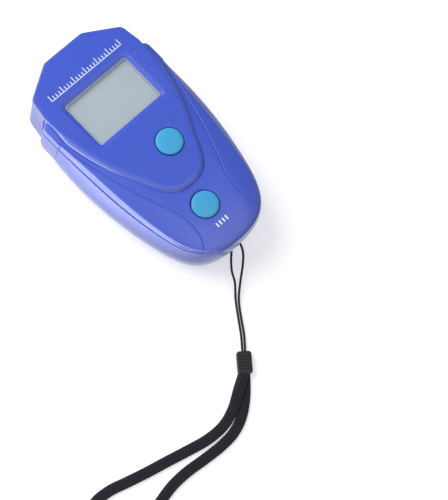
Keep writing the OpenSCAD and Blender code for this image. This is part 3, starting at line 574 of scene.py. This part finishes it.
def on_crimp(x, y, z):
    """Place of a point of the crimp, which lies at a slant."""
    c, s = math.cos(CRIMP_TURN), math.sin(CRIMP_TURN)
    return CRIMP_X + x * c - y * s, CRIMP_Y + x * s + y * c, z


cord_path = spaced(smooth(CORD_ROUTE, LINE_STEPS), CORD_STEP)
band_path = spaced(smooth(BAND_ROUTE, LINE_STEPS), BAND_STEP)
cord = sweep("cord", cord_path, oval(CORD_D, CORD_D, CORD_POINTS), braid)
band = sweep("band", band_path, oval(BAND_W, BAND_T, BAND_POINTS), twill)
crimp_rings = []
for d, z in CRIMP_LEVELS:
    ring = rounded(CRIMP_L - 2 * d, CRIMP_W - 2 * d, max(CRIMP_MIN_R, CRIMP_R - d))
    crimp_rings.append([on_crimp(x, y, z) for x, y in ring])
crimp = skin("crimp", crimp_rings)
for x in CRIMP_GROOVES:
    line = [on_crimp(x, y, GROOVE_Z) for y in np.linspace(-GROOVE_REACH, GROOVE_REACH, 6)]
    combine(crimp, [groove(line, GROOVE_R)])

finished(cord, "strap_cord_braid", "housing", WOVEN, ["strap_cord"], TUBE_SHARP)
finished(band, "strap_band_weave", "housing", WOVEN, ["strap_band"], TUBE_SHARP)
finished(crimp, "strap_crimp_block", "housing", BLACK, ["strap_crimp"])

# Front shell

# How far the panel's side stands out at each height, on the head and on the slope below it
HEAD_SIDE = ([26.1, 26.35, 26.6, 26.8, 26.92, 26.97, 27],
             [0, -0.05, -0.16, -0.36, -0.58, -0.72, -0.95])
SLOPE_SIDE = ([25.0, 25.4, 25.8, 26.2, 26.5, 26.75, 26.9, 26.97, 27],
              [1.0, 0.85, 0.6, 0.2, -0.08, -0.42, -0.76, -1.0, -1.3])
# Levels of the panel, by height: the head's rounded back edge with its own insets, then the side
BACK_EDGE = [(6.0, 0.55), (6.06, 0.3), (6.25, 0.08), (6.6, 0)]
SIDE_LEVELS = (20, 24, 25, 25.2, 25.4, 25.6, 25.8, 26, 26.2, 26.35, 26.5, 26.63, 26.75, 26.83, 26.9, 26.95,
               26.98, 27)
# Rounded lip over the parting line: height above it and inset
LIP = [(0.02, 0.65), (0.12, 0.55), (0.24, 0.2), (0.3, 0.06), (0.4, 0)]
LIP_H, LEAN_END_Z = 0.4, PART_Z + 0.3
CROWN_SIDE_LEVELS, FRONT_SEAM = (22, 22.6), (20, 21.4, 22.4, 23, 23.5)
PANEL_LEAN = 1 - smoothstep(SEAM_Y - 2, SEAM_Y + 8, PANEL_LINE[:, 1])
HEAD_OUT = HEAD_LEAN * (1 - smoothstep(CORNER_Y, LENGTH, PANEL_LINE[:, 1]))
CREASE_R, FOOT_R, SEAM_R, NOTCH_R, LINE_STEP = 0.46, 0.26, 0.3, 0.6, 0.7
CREASE_END = [(0.9, 1.3, 0.7), (1.3, 2.0, 1.9)]
FOOT_END_Y, NOTCH_FOOT_Z = 80, 5
FRONT_FOOT_Z, HEAD_FOOT_Z, BUTTON_FOOT_Z, POCKET_FOOT_Z, ABOVE_Z, PANEL_REACH = 20, 4, 19, 23.5, 28, 40


def panel_inset(z, d):
    """Inset of the panel's outline at height z; the head's wall leans out towards the back."""
    if d is None:
        head = np.interp(z, *HEAD_SIDE)
        d = -(head + (np.interp(z, *SLOPE_SIDE) - head) * PANEL_LEAN)
    return d - HEAD_OUT * np.interp(z, [HEAD_BACK_Z, LEAN_END_Z], [1, 0])


def crown_rings():
    """Outlines of the slope in from the ridge, each with its rise."""
    for d, _ in CROWN_RISE:
        reach = np.minimum(d, CROWN_NEAR) + np.maximum(d - CROWN_NEAR, 0) * CROWN_REACH
        yield RIDGE_LINE + CROWN_WAY * reach[:, None], np.interp(reach, CROWN_RISE[:, 0], CROWN_RISE[:, 1])


def crown_side(z):
    """Outline of the front shell's side at height z, which falls with the ridge towards the tail."""
    share = drop(RIDGE_LINE[:, 1]) * (z - PART_Z - LIP_H) / (RIDGE_Z - PART_Z - LIP_H)
    return at(wall_half(z, CROWN_ENDS), z - share)


def seam_point(side, z, ends):
    """Point on the shoulder seam at height z."""
    wall = wall_half(z, ends)[CURVE_END:CURVE_END + 2]
    return side * wall[:, 0].mean(), SEAM_Y + SEAM_STEP / 2, z


def seam_groove(side, heights, ends):
    return groove([seam_point(side, z, ends) for z in heights], SEAM_R, (0, 1, 0))


def notch_cutter(side):
    return lathe("cutter", [(NOTCH_R, NOTCH_FOOT_Z), (NOTCH_R, VALLEY_Z)], side * NOTCH_W / 2, NOTCH_Y, n=24)


def head_inside(d, back):
    """Outline inside the head's wall, d in from its outside, and reaching back past the notch."""
    start = [(0, NOTCH_Y - 20), (NOTCH_W / 2, NOTCH_Y - 10)]
    half = inset(np.vstack([start, PANEL_LINE[CURVE_END:]]), d)[2:]
    half[0, 1] = NOTCH_Y - back
    return both_sides(half)


def display_rings(w, l, levels, follow=1):
    """Rings round the display, grown by d at height z; the corners' radius follows or stays."""
    return [[(x, y, z) for x, y in rounded(w + 2 * d, l + 2 * d, WINDOW_R + follow * d, 0, DISPLAY_Y)]
            for d, z in levels]


def button_surface(place):
    return FACE_Z if place == UPPER else valley_z(place[1])


panel_levels = BACK_EDGE + [(z, None) for z in SIDE_LEVELS]
panel = loft("panel", [at(inset(PANEL_LINE, panel_inset(z, d)), z) for z, d in panel_levels])
combine(panel, [box(-PANEL_REACH, PANEL_REACH, 0, NOTCH_Y, 0, PART_Z)])
crown = loft("crown", [at(inset(wall_half(PART_Z + up, CROWN_ENDS), d), PART_Z + up) for up, d in LIP]
             + [crown_side(z) for z in CROWN_SIDE_LEVELS]
             + [at(h, RIDGE_Z + rise - drop(h[:, 1])) for h, rise in crown_rings()])

crease_line = spaced(smooth([(x * RIDGE_W / 2, y * SEAM_Y) for x, y in CREASE_CURVE], LINE_STEPS), LINE_STEP)
foot_line = spaced(inset(PANEL_LINE, -1.0 * PANEL_LEAN)[:CURVE_END], LINE_STEP)
cutters = []
for side in (1, -1):
    line = [(side * x, y, crown_z(x, y) + 0.1) for x, y in crease_line]
    x, y, z = line[-1]
    line += [(x + side * a, y - b, z - c) for a, b, c in CREASE_END]
    foot = [(side * x, y, crown_z(x, y)) for x, y in foot_line if y < FOOT_END_Y]
    cutters += [groove(line, CREASE_R), groove(foot, FOOT_R),
                seam_groove(side, FRONT_SEAM, CROWN_ENDS), notch_cutter(side)]

combine(crown, [panel], "UNION")
combine(crown, cutters)
hollow = prism(both_sides(shrunk(wall_half(RIDGE_Z, CROWN_ENDS), WALL + 0.3)), FRONT_FOOT_Z, CEILING_Z)
under_panel = prism(both_sides(inset(PANEL_LINE, WALL + 0.2)), FRONT_FOOT_Z, FACE_Z - ROOF_T)
combine(crown, [hollow, under_panel])
combine(crown, [prism(head_inside(WALL, 1), HEAD_FOOT_Z, FACE_Z - ROOF_T - 0.1)])

window = skin("cutter", display_rings(WINDOW_W, WINDOW_L, [
    (0, 24.5), (0, 25.9), (0.06, 25.95), (WINDOW_BEVEL - 0.15, 26.86), (WINDOW_BEVEL + 0.05, 26.96),
    (WINDOW_BEVEL + 0.5, 27.2)]))
pocket_w, pocket_l = LENS_W / 2 + LENS_GAP, LENS_L / 2 + LENS_GAP
pocket = box(-pocket_w, pocket_w, DISPLAY_Y - pocket_l, DISPLAY_Y + pocket_l, POCKET_FOOT_Z, FACE_Z - RIM_T)
combine(crown, [window, pocket])
for place in (UPPER, LOWER):
    top, r = button_surface(place), BUTTON_D / 2 + BUTTON_GAP
    hole = [(r, BUTTON_FOOT_Z), (r, top - 0.3), (r + 0.1, top - 0.1), (r + 0.45, top + 0.12),
            (r + 0.6, ABOVE_Z)]
    rim = [(r + FLANGE_RIM, BUTTON_FOOT_Z), (r + FLANGE_RIM, top - ROOF_T)]
    combine(crown, [lathe("cutter", profile, *place) for profile in (hole, rim)])
finished(crown, "front_shell_skin", "housing", BLUE, ["front_shell"])

# Rear shell and battery door

REAR_ENDS = [(0, NOTCH_Y - PART_GAP)]
INNER_ENDS = [(0, NOTCH_Y), (0, NOTCH_Y + 8)]
REAR_LEVELS = (0, 0.05, 0.2, 0.45, 0.8, 1.3, 2, 3, 4.2, 5.6, 7.2, 9, 11, 12.4, 13.5, 14.5, 16, 17.6, 19, 20.2,
               20.8)
REAR_EDGE = [(20.9, 0.06), (20.96, 0.2), (21.02, 0.55), (21.04, 0.65)]
INNER_LEVELS = (1.2, 2.4, 4.6, 8, 11, 13.5, 17, 22)
REAR_SEAM = (5, 6, 7.5, 9, 11, 13.5, 16, 18.5, 20.5, 21.5)
PAST_TAIL, PAST_HEAD, PAST_FRONT, PAST_SIDE = -20, 130, 40, 50
DOOR_RIM, DOOR_BED, RAIL_W, RAIL_FOOT, BAY_FOOT = 3, 1.2, 1, 0.5, 0.5
COLLAR_GAP, SCREW_R, SCREW_RIM = 0.1, 2.3, 2.7
RIBS, RIB_PITCH, RIB_D, RIB_HALF, RIB_IN, RIB_Z = 5, 2.2, 1.5, 6.6, 5.5, -0.15


def back_profile(rise):
    """All that lies in front of the back, which steps up to the head on a ramp; rise is a wall's thickness."""
    ramp_end = RAMP_Y + RAMP_L
    points = [(PAST_TAIL, rise), (RAMP_Y - 0.6, rise), (RAMP_Y + 0.2, rise + 0.12), (RAMP_Y + 1, rise + 0.7),
              (ramp_end - 1, HEAD_BACK_Z + rise - 0.7), (ramp_end - 0.2, HEAD_BACK_Z + rise - 0.12),
              (ramp_end + 0.6, HEAD_BACK_Z + rise), (PAST_HEAD, HEAD_BACK_Z + rise), (PAST_HEAD, PAST_FRONT),
              (PAST_TAIL, PAST_FRONT)]
    return skin("cutter", [[(x, y, z) for y, z in points] for x in (-PAST_SIDE, PAST_SIDE)])


rear = loft("rear", [at(wall_half(z, REAR_ENDS), z) for z in REAR_LEVELS]
            + [at(inset(wall_half(z, REAR_ENDS), d), z) for z, d in REAR_EDGE])
outer = copy(rear)
combine(rear, [back_profile(0)], "INTERSECT")
hollow = loft("hollow", [at(shrunk(wall_half(z, INNER_ENDS), WALL), z) for z in INNER_LEVELS])
combine(hollow, [back_profile(WALL)], "INTERSECT")
door_rim, eye_rim, bay_rim = DOOR_HALF + DOOR_RIM, EYE_HALF + EYE_WALL, BAY_HALF + BAY_WALL
combine(hollow, [box(-door_rim, door_rim, -1, DOOR_END + DOOR_RIM, 0, CHANNEL_Z + DOOR_BED),
                 box(-eye_rim, eye_rim, -1, BAY_Y - 0.5, 0, EYE_TOP + EYE_WALL),
                 box(-bay_rim, bay_rim, BAY_Y - BAY_WALL, BAY_Y + BAY_L + BAY_WALL, 0, BAY_ROOF_Z + BAY_WALL)])
combine(rear, [hollow])
combine(rear, [prism(head_inside(WALL + 0.2, 3), HEAD_BACK_Z, HEAD_BACK_Z + WALL)], "UNION")

channel, channel_end = DOOR_HALF + DOOR_GAP, DOOR_END + DOOR_GAP
channel_half = [(channel, CHANNEL_Z), (channel, 0.25), (channel + 0.3, -0.1)]
eye = box(-EYE_HALF, EYE_HALF, -1, EYE_END, EYE_FOOT, EYE_TOP)
combine(eye, [lathe("cutter", [(BAR_R, 3), (BAR_R, 12)], 0, BAR_Y, n=32)])
collar_hole = COLLAR_R + COLLAR_GAP
combine(rear, [box(-BAY_HALF, BAY_HALF, BAY_Y, BAY_Y + BAY_L, BAY_FOOT, BAY_ROOF_Z),
               along_y(channel_half, PAST_TAIL, channel_end),
               box(-channel - RAIL_W, channel + RAIL_W, PAST_TAIL, channel_end, RAIL_FOOT, CHANNEL_Z - 0.2),
               eye,
               lathe("cutter", [(collar_hole, 4), (collar_hole, 12)], 0, PROBE_Y)])
for x, y, z in SCREWS:
    hole = [(SCREW_RIM, z - 0.2), (SCREW_R, z + 0.25), (SCREW_R, z + 2.8)]
    combine(rear, [lathe("cutter", hole, x, y, n=40)])
for side in (1, -1):
    combine(rear, [seam_groove(side, REAR_SEAM, REAR_ENDS), notch_cutter(side)])
finished(rear, "rear_shell_skin", "housing", BLUE, ["rear_shell"])

door_half = [(DOOR_HALF, DOOR_T), (DOOR_HALF, 0.3), (DOOR_HALF - 0.25, 0)]
door = along_y(door_half, -1, DOOR_END)
combine(door, [outer], "INTERSECT")
ribs = []
for k in range(RIBS):
    y = DOOR_END - RIB_IN - RIB_PITCH * k
    line = [(x, y, RIB_Z) for x in np.linspace(-RIB_HALF, RIB_HALF, 9)]
    ribs.append(sweep("cutter", line, oval(RIB_D, RIB_D, 16)))
combine(door, ribs)
finished(door, "battery_door_panel", "battery_door", BLUE, ["battery_door"])

# Buttons

BUTTON_CROWN, FLANGE_FOOT, FLANGE_TOP = 0.45, 3.9, 3.1
for name, place in (("upper_button", UPPER), ("lower_button", LOWER)):
    top, r = button_surface(place) + BUTTON_RISE, BUTTON_D / 2
    profile = [(r + FLANGE_RIM, top - FLANGE_FOOT), (r + FLANGE_RIM, top - FLANGE_TOP), (r, top - FLANGE_TOP),
               (r, top - 0.95), (r - 0.04, top - 0.8), (r - 0.16, top - 0.64), (r - 0.36, top - 0.53)]
    profile += [(x, top - BUTTON_CROWN * (x / r) ** 2) for x in np.linspace(r - 0.7, 0.3, 9)]
    finished(lathe(name, profile, *place, n=96), name + "_cap", name, BUTTON, [name])

# Display

lens = skin("lens", display_rings(LENS_W, LENS_L, [(-0.15, 24.5), (0, 24.6), (0, 25.6), (-0.15, 25.7)], 0))
finished(lens, "display_lens_plate", "housing", LENS, ["display_lens"])
# Thin ring on the window's edge over the lens's rim; its pale colour is a painted highlight of the lens's edge
bead = skin("bead", display_rings(WINDOW_W, WINDOW_L, [
    (-0.06, 25.66), (-0.06, 25.8), (-0.14, 25.85), (-0.24, 25.83), (-0.32, 25.76)]))
combine(bead, [skin("cutter", display_rings(WINDOW_W, WINDOW_L, [(-0.35, 24), (-0.35, 27)]))])
finished(bead, "display_bead_painted_highlight", "housing", EDGE_HIGHLIGHT_PAINT)

# Plain scale marks printed on the head, and four strokes by the lower button

PRINT_FOOT, PRINT_TOP = -0.05, 0.03
TICKS, TICK_PITCH, TICK_W, TICK_FOOT, TICK_L, LONG_TICK_L = 12, 1.5, 0.36, 88.2, 1.5, 2.6
SCALE_LINE = (0, 88.0, 36.4, 0.3)
STROKES, STROKE_START, STROKE_PITCH, STROKE_SIZE, STROKE_Y = 4, -4.4, 1.6, (0.7, 1.9), 9.9


def printed(name, boxes, z_of):
    """Thin printed boxes of (x, y, width, length) on a surface."""
    verts, faces = [], []
    for x, y, w, l in boxes:
        corners = [(x + a * w / 2, y + b * l / 2) for a, b in ((-1, -1), (1, -1), (1, 1), (-1, 1))]
        i = len(verts)
        verts += [(a, b, z_of(b) + h) for h in (PRINT_FOOT, PRINT_TOP) for a, b in corners]
        faces += [(i, i + 3, i + 2, i + 1), (i + 4, i + 5, i + 6, i + 7)]
        faces += [(i + j, i + (j + 1) % 4, i + 4 + (j + 1) % 4, i + 4 + j) for j in range(4)]
    return new_object(name, verts, faces)


marks = []
for k in range(-TICKS, TICKS + 1):
    tick = LONG_TICK_L if k % 4 == 0 else TICK_L
    marks.append((TICK_PITCH * k, TICK_FOOT + tick / 2, TICK_W, tick))
marks.append(SCALE_LINE)
strokes = [(STROKE_START + STROKE_PITCH * k, STROKE_Y, *STROKE_SIZE) for k in range(STROKES)]
finished(printed("marks", marks, lambda y: FACE_Z), "scale_marks", "housing", PRINT)
finished(printed("strokes", strokes, valley_z), "button_marks", "housing", PRINT)

# Probe collar

COLLAR_PROFILE = [(3.5, 1.35), (3.5, 1.12), (3.62, 1.0), (7.3, 1.0), (7.75, 1.15), (7.95, 1.45),
                  (COLLAR_R, 1.9), (COLLAR_R, 4.6), (9.2, 4.6), (9.45, 4.75), (9.5, 5.0), (9.5, 6.0),
                  (COLLAR_R, 6.0), (COLLAR_R, 12), (4.6, 12), (4.6, 1.35)]
collar = turned_ring("collar", COLLAR_PROFILE, 0, PROBE_Y, n=96)
finished(collar, "probe_collar_ring", "housing", BLACK, ["probe_collar"])

# Spring between the collar's roof and the bobbin, which in the gauge shortens as the probe is pressed in; this
# coil is drawn at one length

SPRING_R, SPRING_WIRE, SPRING_TURNS, SPRING_FOOT, SPRING_TOP = 3.5, 0.6, 3.5, 7.25, 10.95
SPRING_STEPS, PAST_TOP, PAST_FOOT = 98, 0.55, 0.65
spring_path = []
for t in np.linspace(0, 1, SPRING_STEPS + 1):
    a = 2 * math.pi * SPRING_TURNS * t
    spring_path.append((SPRING_R * math.cos(a), PROBE_Y + SPRING_R * math.sin(a),
                        SPRING_FOOT + SPRING_WIRE / 2 + (SPRING_TOP - SPRING_FOOT - SPRING_WIRE) * t))
spring = sweep("spring", spring_path, oval(SPRING_WIRE, SPRING_WIRE, 10))
finished(spring, "probe_spring_coil", None, PLATED, ["probe_spring"], TUBE_SHARP)
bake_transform(spring)

# Finishes of the solids that keep their own shape

FINISHES = (
    (DISPLAY, ["display_panel"]),
    (WHITE, ["display_frame", "probe_bobbin"]),
    (RUBBER, ["contact_strips"]),
    (BOARD, ["circuit_board"]),
    (BLACK, ["controller_chip", "upper_plunger", "lower_plunger"]),
    (PLATED, ["upper_switch", "lower_switch", "bridge_contact", "plus_contact", "minus_contact"]),
    (HARD, ["probe_core"]),
    (COPPER, ["probe_coil"]),
    (LEAD, ["probe_leads"]),
    (CELL, ["left_cell", "right_cell"]),
    (DARK, ["housing_screws"]),
)
for mat, names in FINISHES:
    for name in names:
        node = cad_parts[name]
        if not node.material_slots:
            node.data.materials.append(mat)
        for s in node.material_slots:
            s.material = mat

# Floor, light and background

# The floor lies a hair below the flat back, so that the two don't share one plane
FLOOR_HALF, FLOOR_Z = 3, -0.0002
WHITE_LIGHT = (1, 1, 1, 1)


def floor_material():
    """Pale floor that keeps the shadow, is bright in reflections and is clear from below."""
    mat, tree, bsdf = node_material("floor")
    set_inputs(bsdf, {"Base Color": (0.76, 0.76, 0.77, 1), "Roughness": 0.9, "Specular IOR Level": 0.0})
    rays = add(tree, "ShaderNodeLightPath")
    geometry = add(tree, "ShaderNodeNewGeometry")
    pale = add(tree, "ShaderNodeEmission", Strength=0.5)
    total = add(tree, "ShaderNodeAddShader")
    for i, part in enumerate((bsdf, pale)):
        link(tree, part.outputs[0], total.inputs[i])

    # In reflections the floor is white by the gauge, brighter further out at the left and darker at the right
    place = add(tree, "ShaderNodeSeparateXYZ")
    link(tree, geometry.outputs["Position"], place.inputs[0])
    left = ranged(tree, place.outputs["X"], 4.4, 0.0, -0.1, -0.03)
    near = ranged(tree, place.outputs["X"], 1.0, 0.4, -0.035, 0.06)
    glow = add(tree, "ShaderNodeMath", operation="ADD")
    for i, part in enumerate((left, near)):
        link(tree, part, glow.inputs[i])
    mirrored = add(tree, "ShaderNodeEmission")
    link(tree, glow.outputs[0], mirrored.inputs["Strength"])

    in_gloss = mixed(tree, rays.outputs["Is Glossy Ray"], bsdf.outputs[0], mirrored.outputs[0])
    seen = mixed(tree, rays.outputs["Is Camera Ray"], in_gloss, total.outputs[0])
    clear = add(tree, "ShaderNodeBsdfTransparent")
    link(tree, mixed(tree, geometry.outputs["Backfacing"], seen, clear.outputs[0]),
         tree.nodes["Material Output"].inputs["Surface"])
    return mat


def studio_world():
    """White background and soft light; reflections see a studio of their own."""
    world = bpy.data.worlds.new("world")
    world.use_nodes = True
    tree = world.node_tree
    tree.nodes.clear()
    rays = add(tree, "ShaderNodeLightPath")
    ambient = add(tree, "ShaderNodeBackground", Color=WHITE_LIGHT, Strength=0.33)
    shown = add(tree, "ShaderNodeBackground", Color=WHITE_LIGHT, Strength=1.0)

    # In reflections the studio is white at the left and at the tail, and darker overhead and past the head
    studio = add(tree, "ShaderNodeBackground", Color=WHITE_LIGHT)
    towards = add(tree, "ShaderNodeVectorMath", operation="DOT_PRODUCT")
    towards.inputs[1].default_value = (-0.6, -0.6, -0.5)
    link(tree, add(tree, "ShaderNodeTexCoord").outputs["Generated"], towards.inputs[0])
    link(tree, ranged(tree, towards.outputs["Value"], 0.35, 1.0, -0.7, 0.3), studio.inputs["Strength"])

    mirrored = add(tree, "ShaderNodeMath", operation="MAXIMUM")
    for i, kind in enumerate(("Is Glossy Ray", "Is Transmission Ray")):
        link(tree, rays.outputs[kind], mirrored.inputs[i])
    in_mirror = mixed(tree, mirrored.outputs[0], ambient.outputs[0], studio.outputs[0])
    in_view = mixed(tree, rays.outputs["Is Camera Ray"], in_mirror, shown.outputs[0])
    link(tree, in_view, add(tree, "ShaderNodeOutputWorld").inputs["Surface"])
    return world


def lamp(name, place, target, size, power):
    data = bpy.data.lights.new(name, "AREA")
    data.shape, data.size, data.energy = "DISK", size, power
    obj = bpy.data.objects.new(name, data)
    obj.location = place
    obj.rotation_mode = "QUATERNION"
    obj.rotation_quaternion = (Vector(target) - Vector(place)).to_track_quat("-Z", "Y")
    bpy.context.scene.collection.objects.link(obj)
    return obj


floor = bpy.data.objects.new("floor", bpy.data.meshes.new("floor"))
corners = [(x * FLOOR_HALF, y * FLOOR_HALF, FLOOR_Z) for x, y in ((-1, -1), (1, -1), (1, 1), (-1, 1))]
floor.data.from_pydata(corners, [], [(0, 1, 2, 3)])
bpy.context.scene.collection.objects.link(floor)
floor.data.materials.append(floor_material())
bpy.context.scene.world = studio_world()

# The key light is left out of reflections, so that it leaves no hard glint
key = lamp("key", (-0.16, 0.36, 0.42), (0, 0.01, 0.015), 0.55, 3.2)
key.visible_glossy = False
# A white card at the left, seen in reflections alone
card = lamp("card", (-0.5, 0.02, 0.12), (0, 0.0, 0.015), 0.4, 0.35)
card.visible_diffuse = False
lamp("fill", (0.1, -0.3, 0.9), (0, 0, 0.01), 0.8, 1.0)

bpy.context.scene.view_settings.view_transform = "Standard"
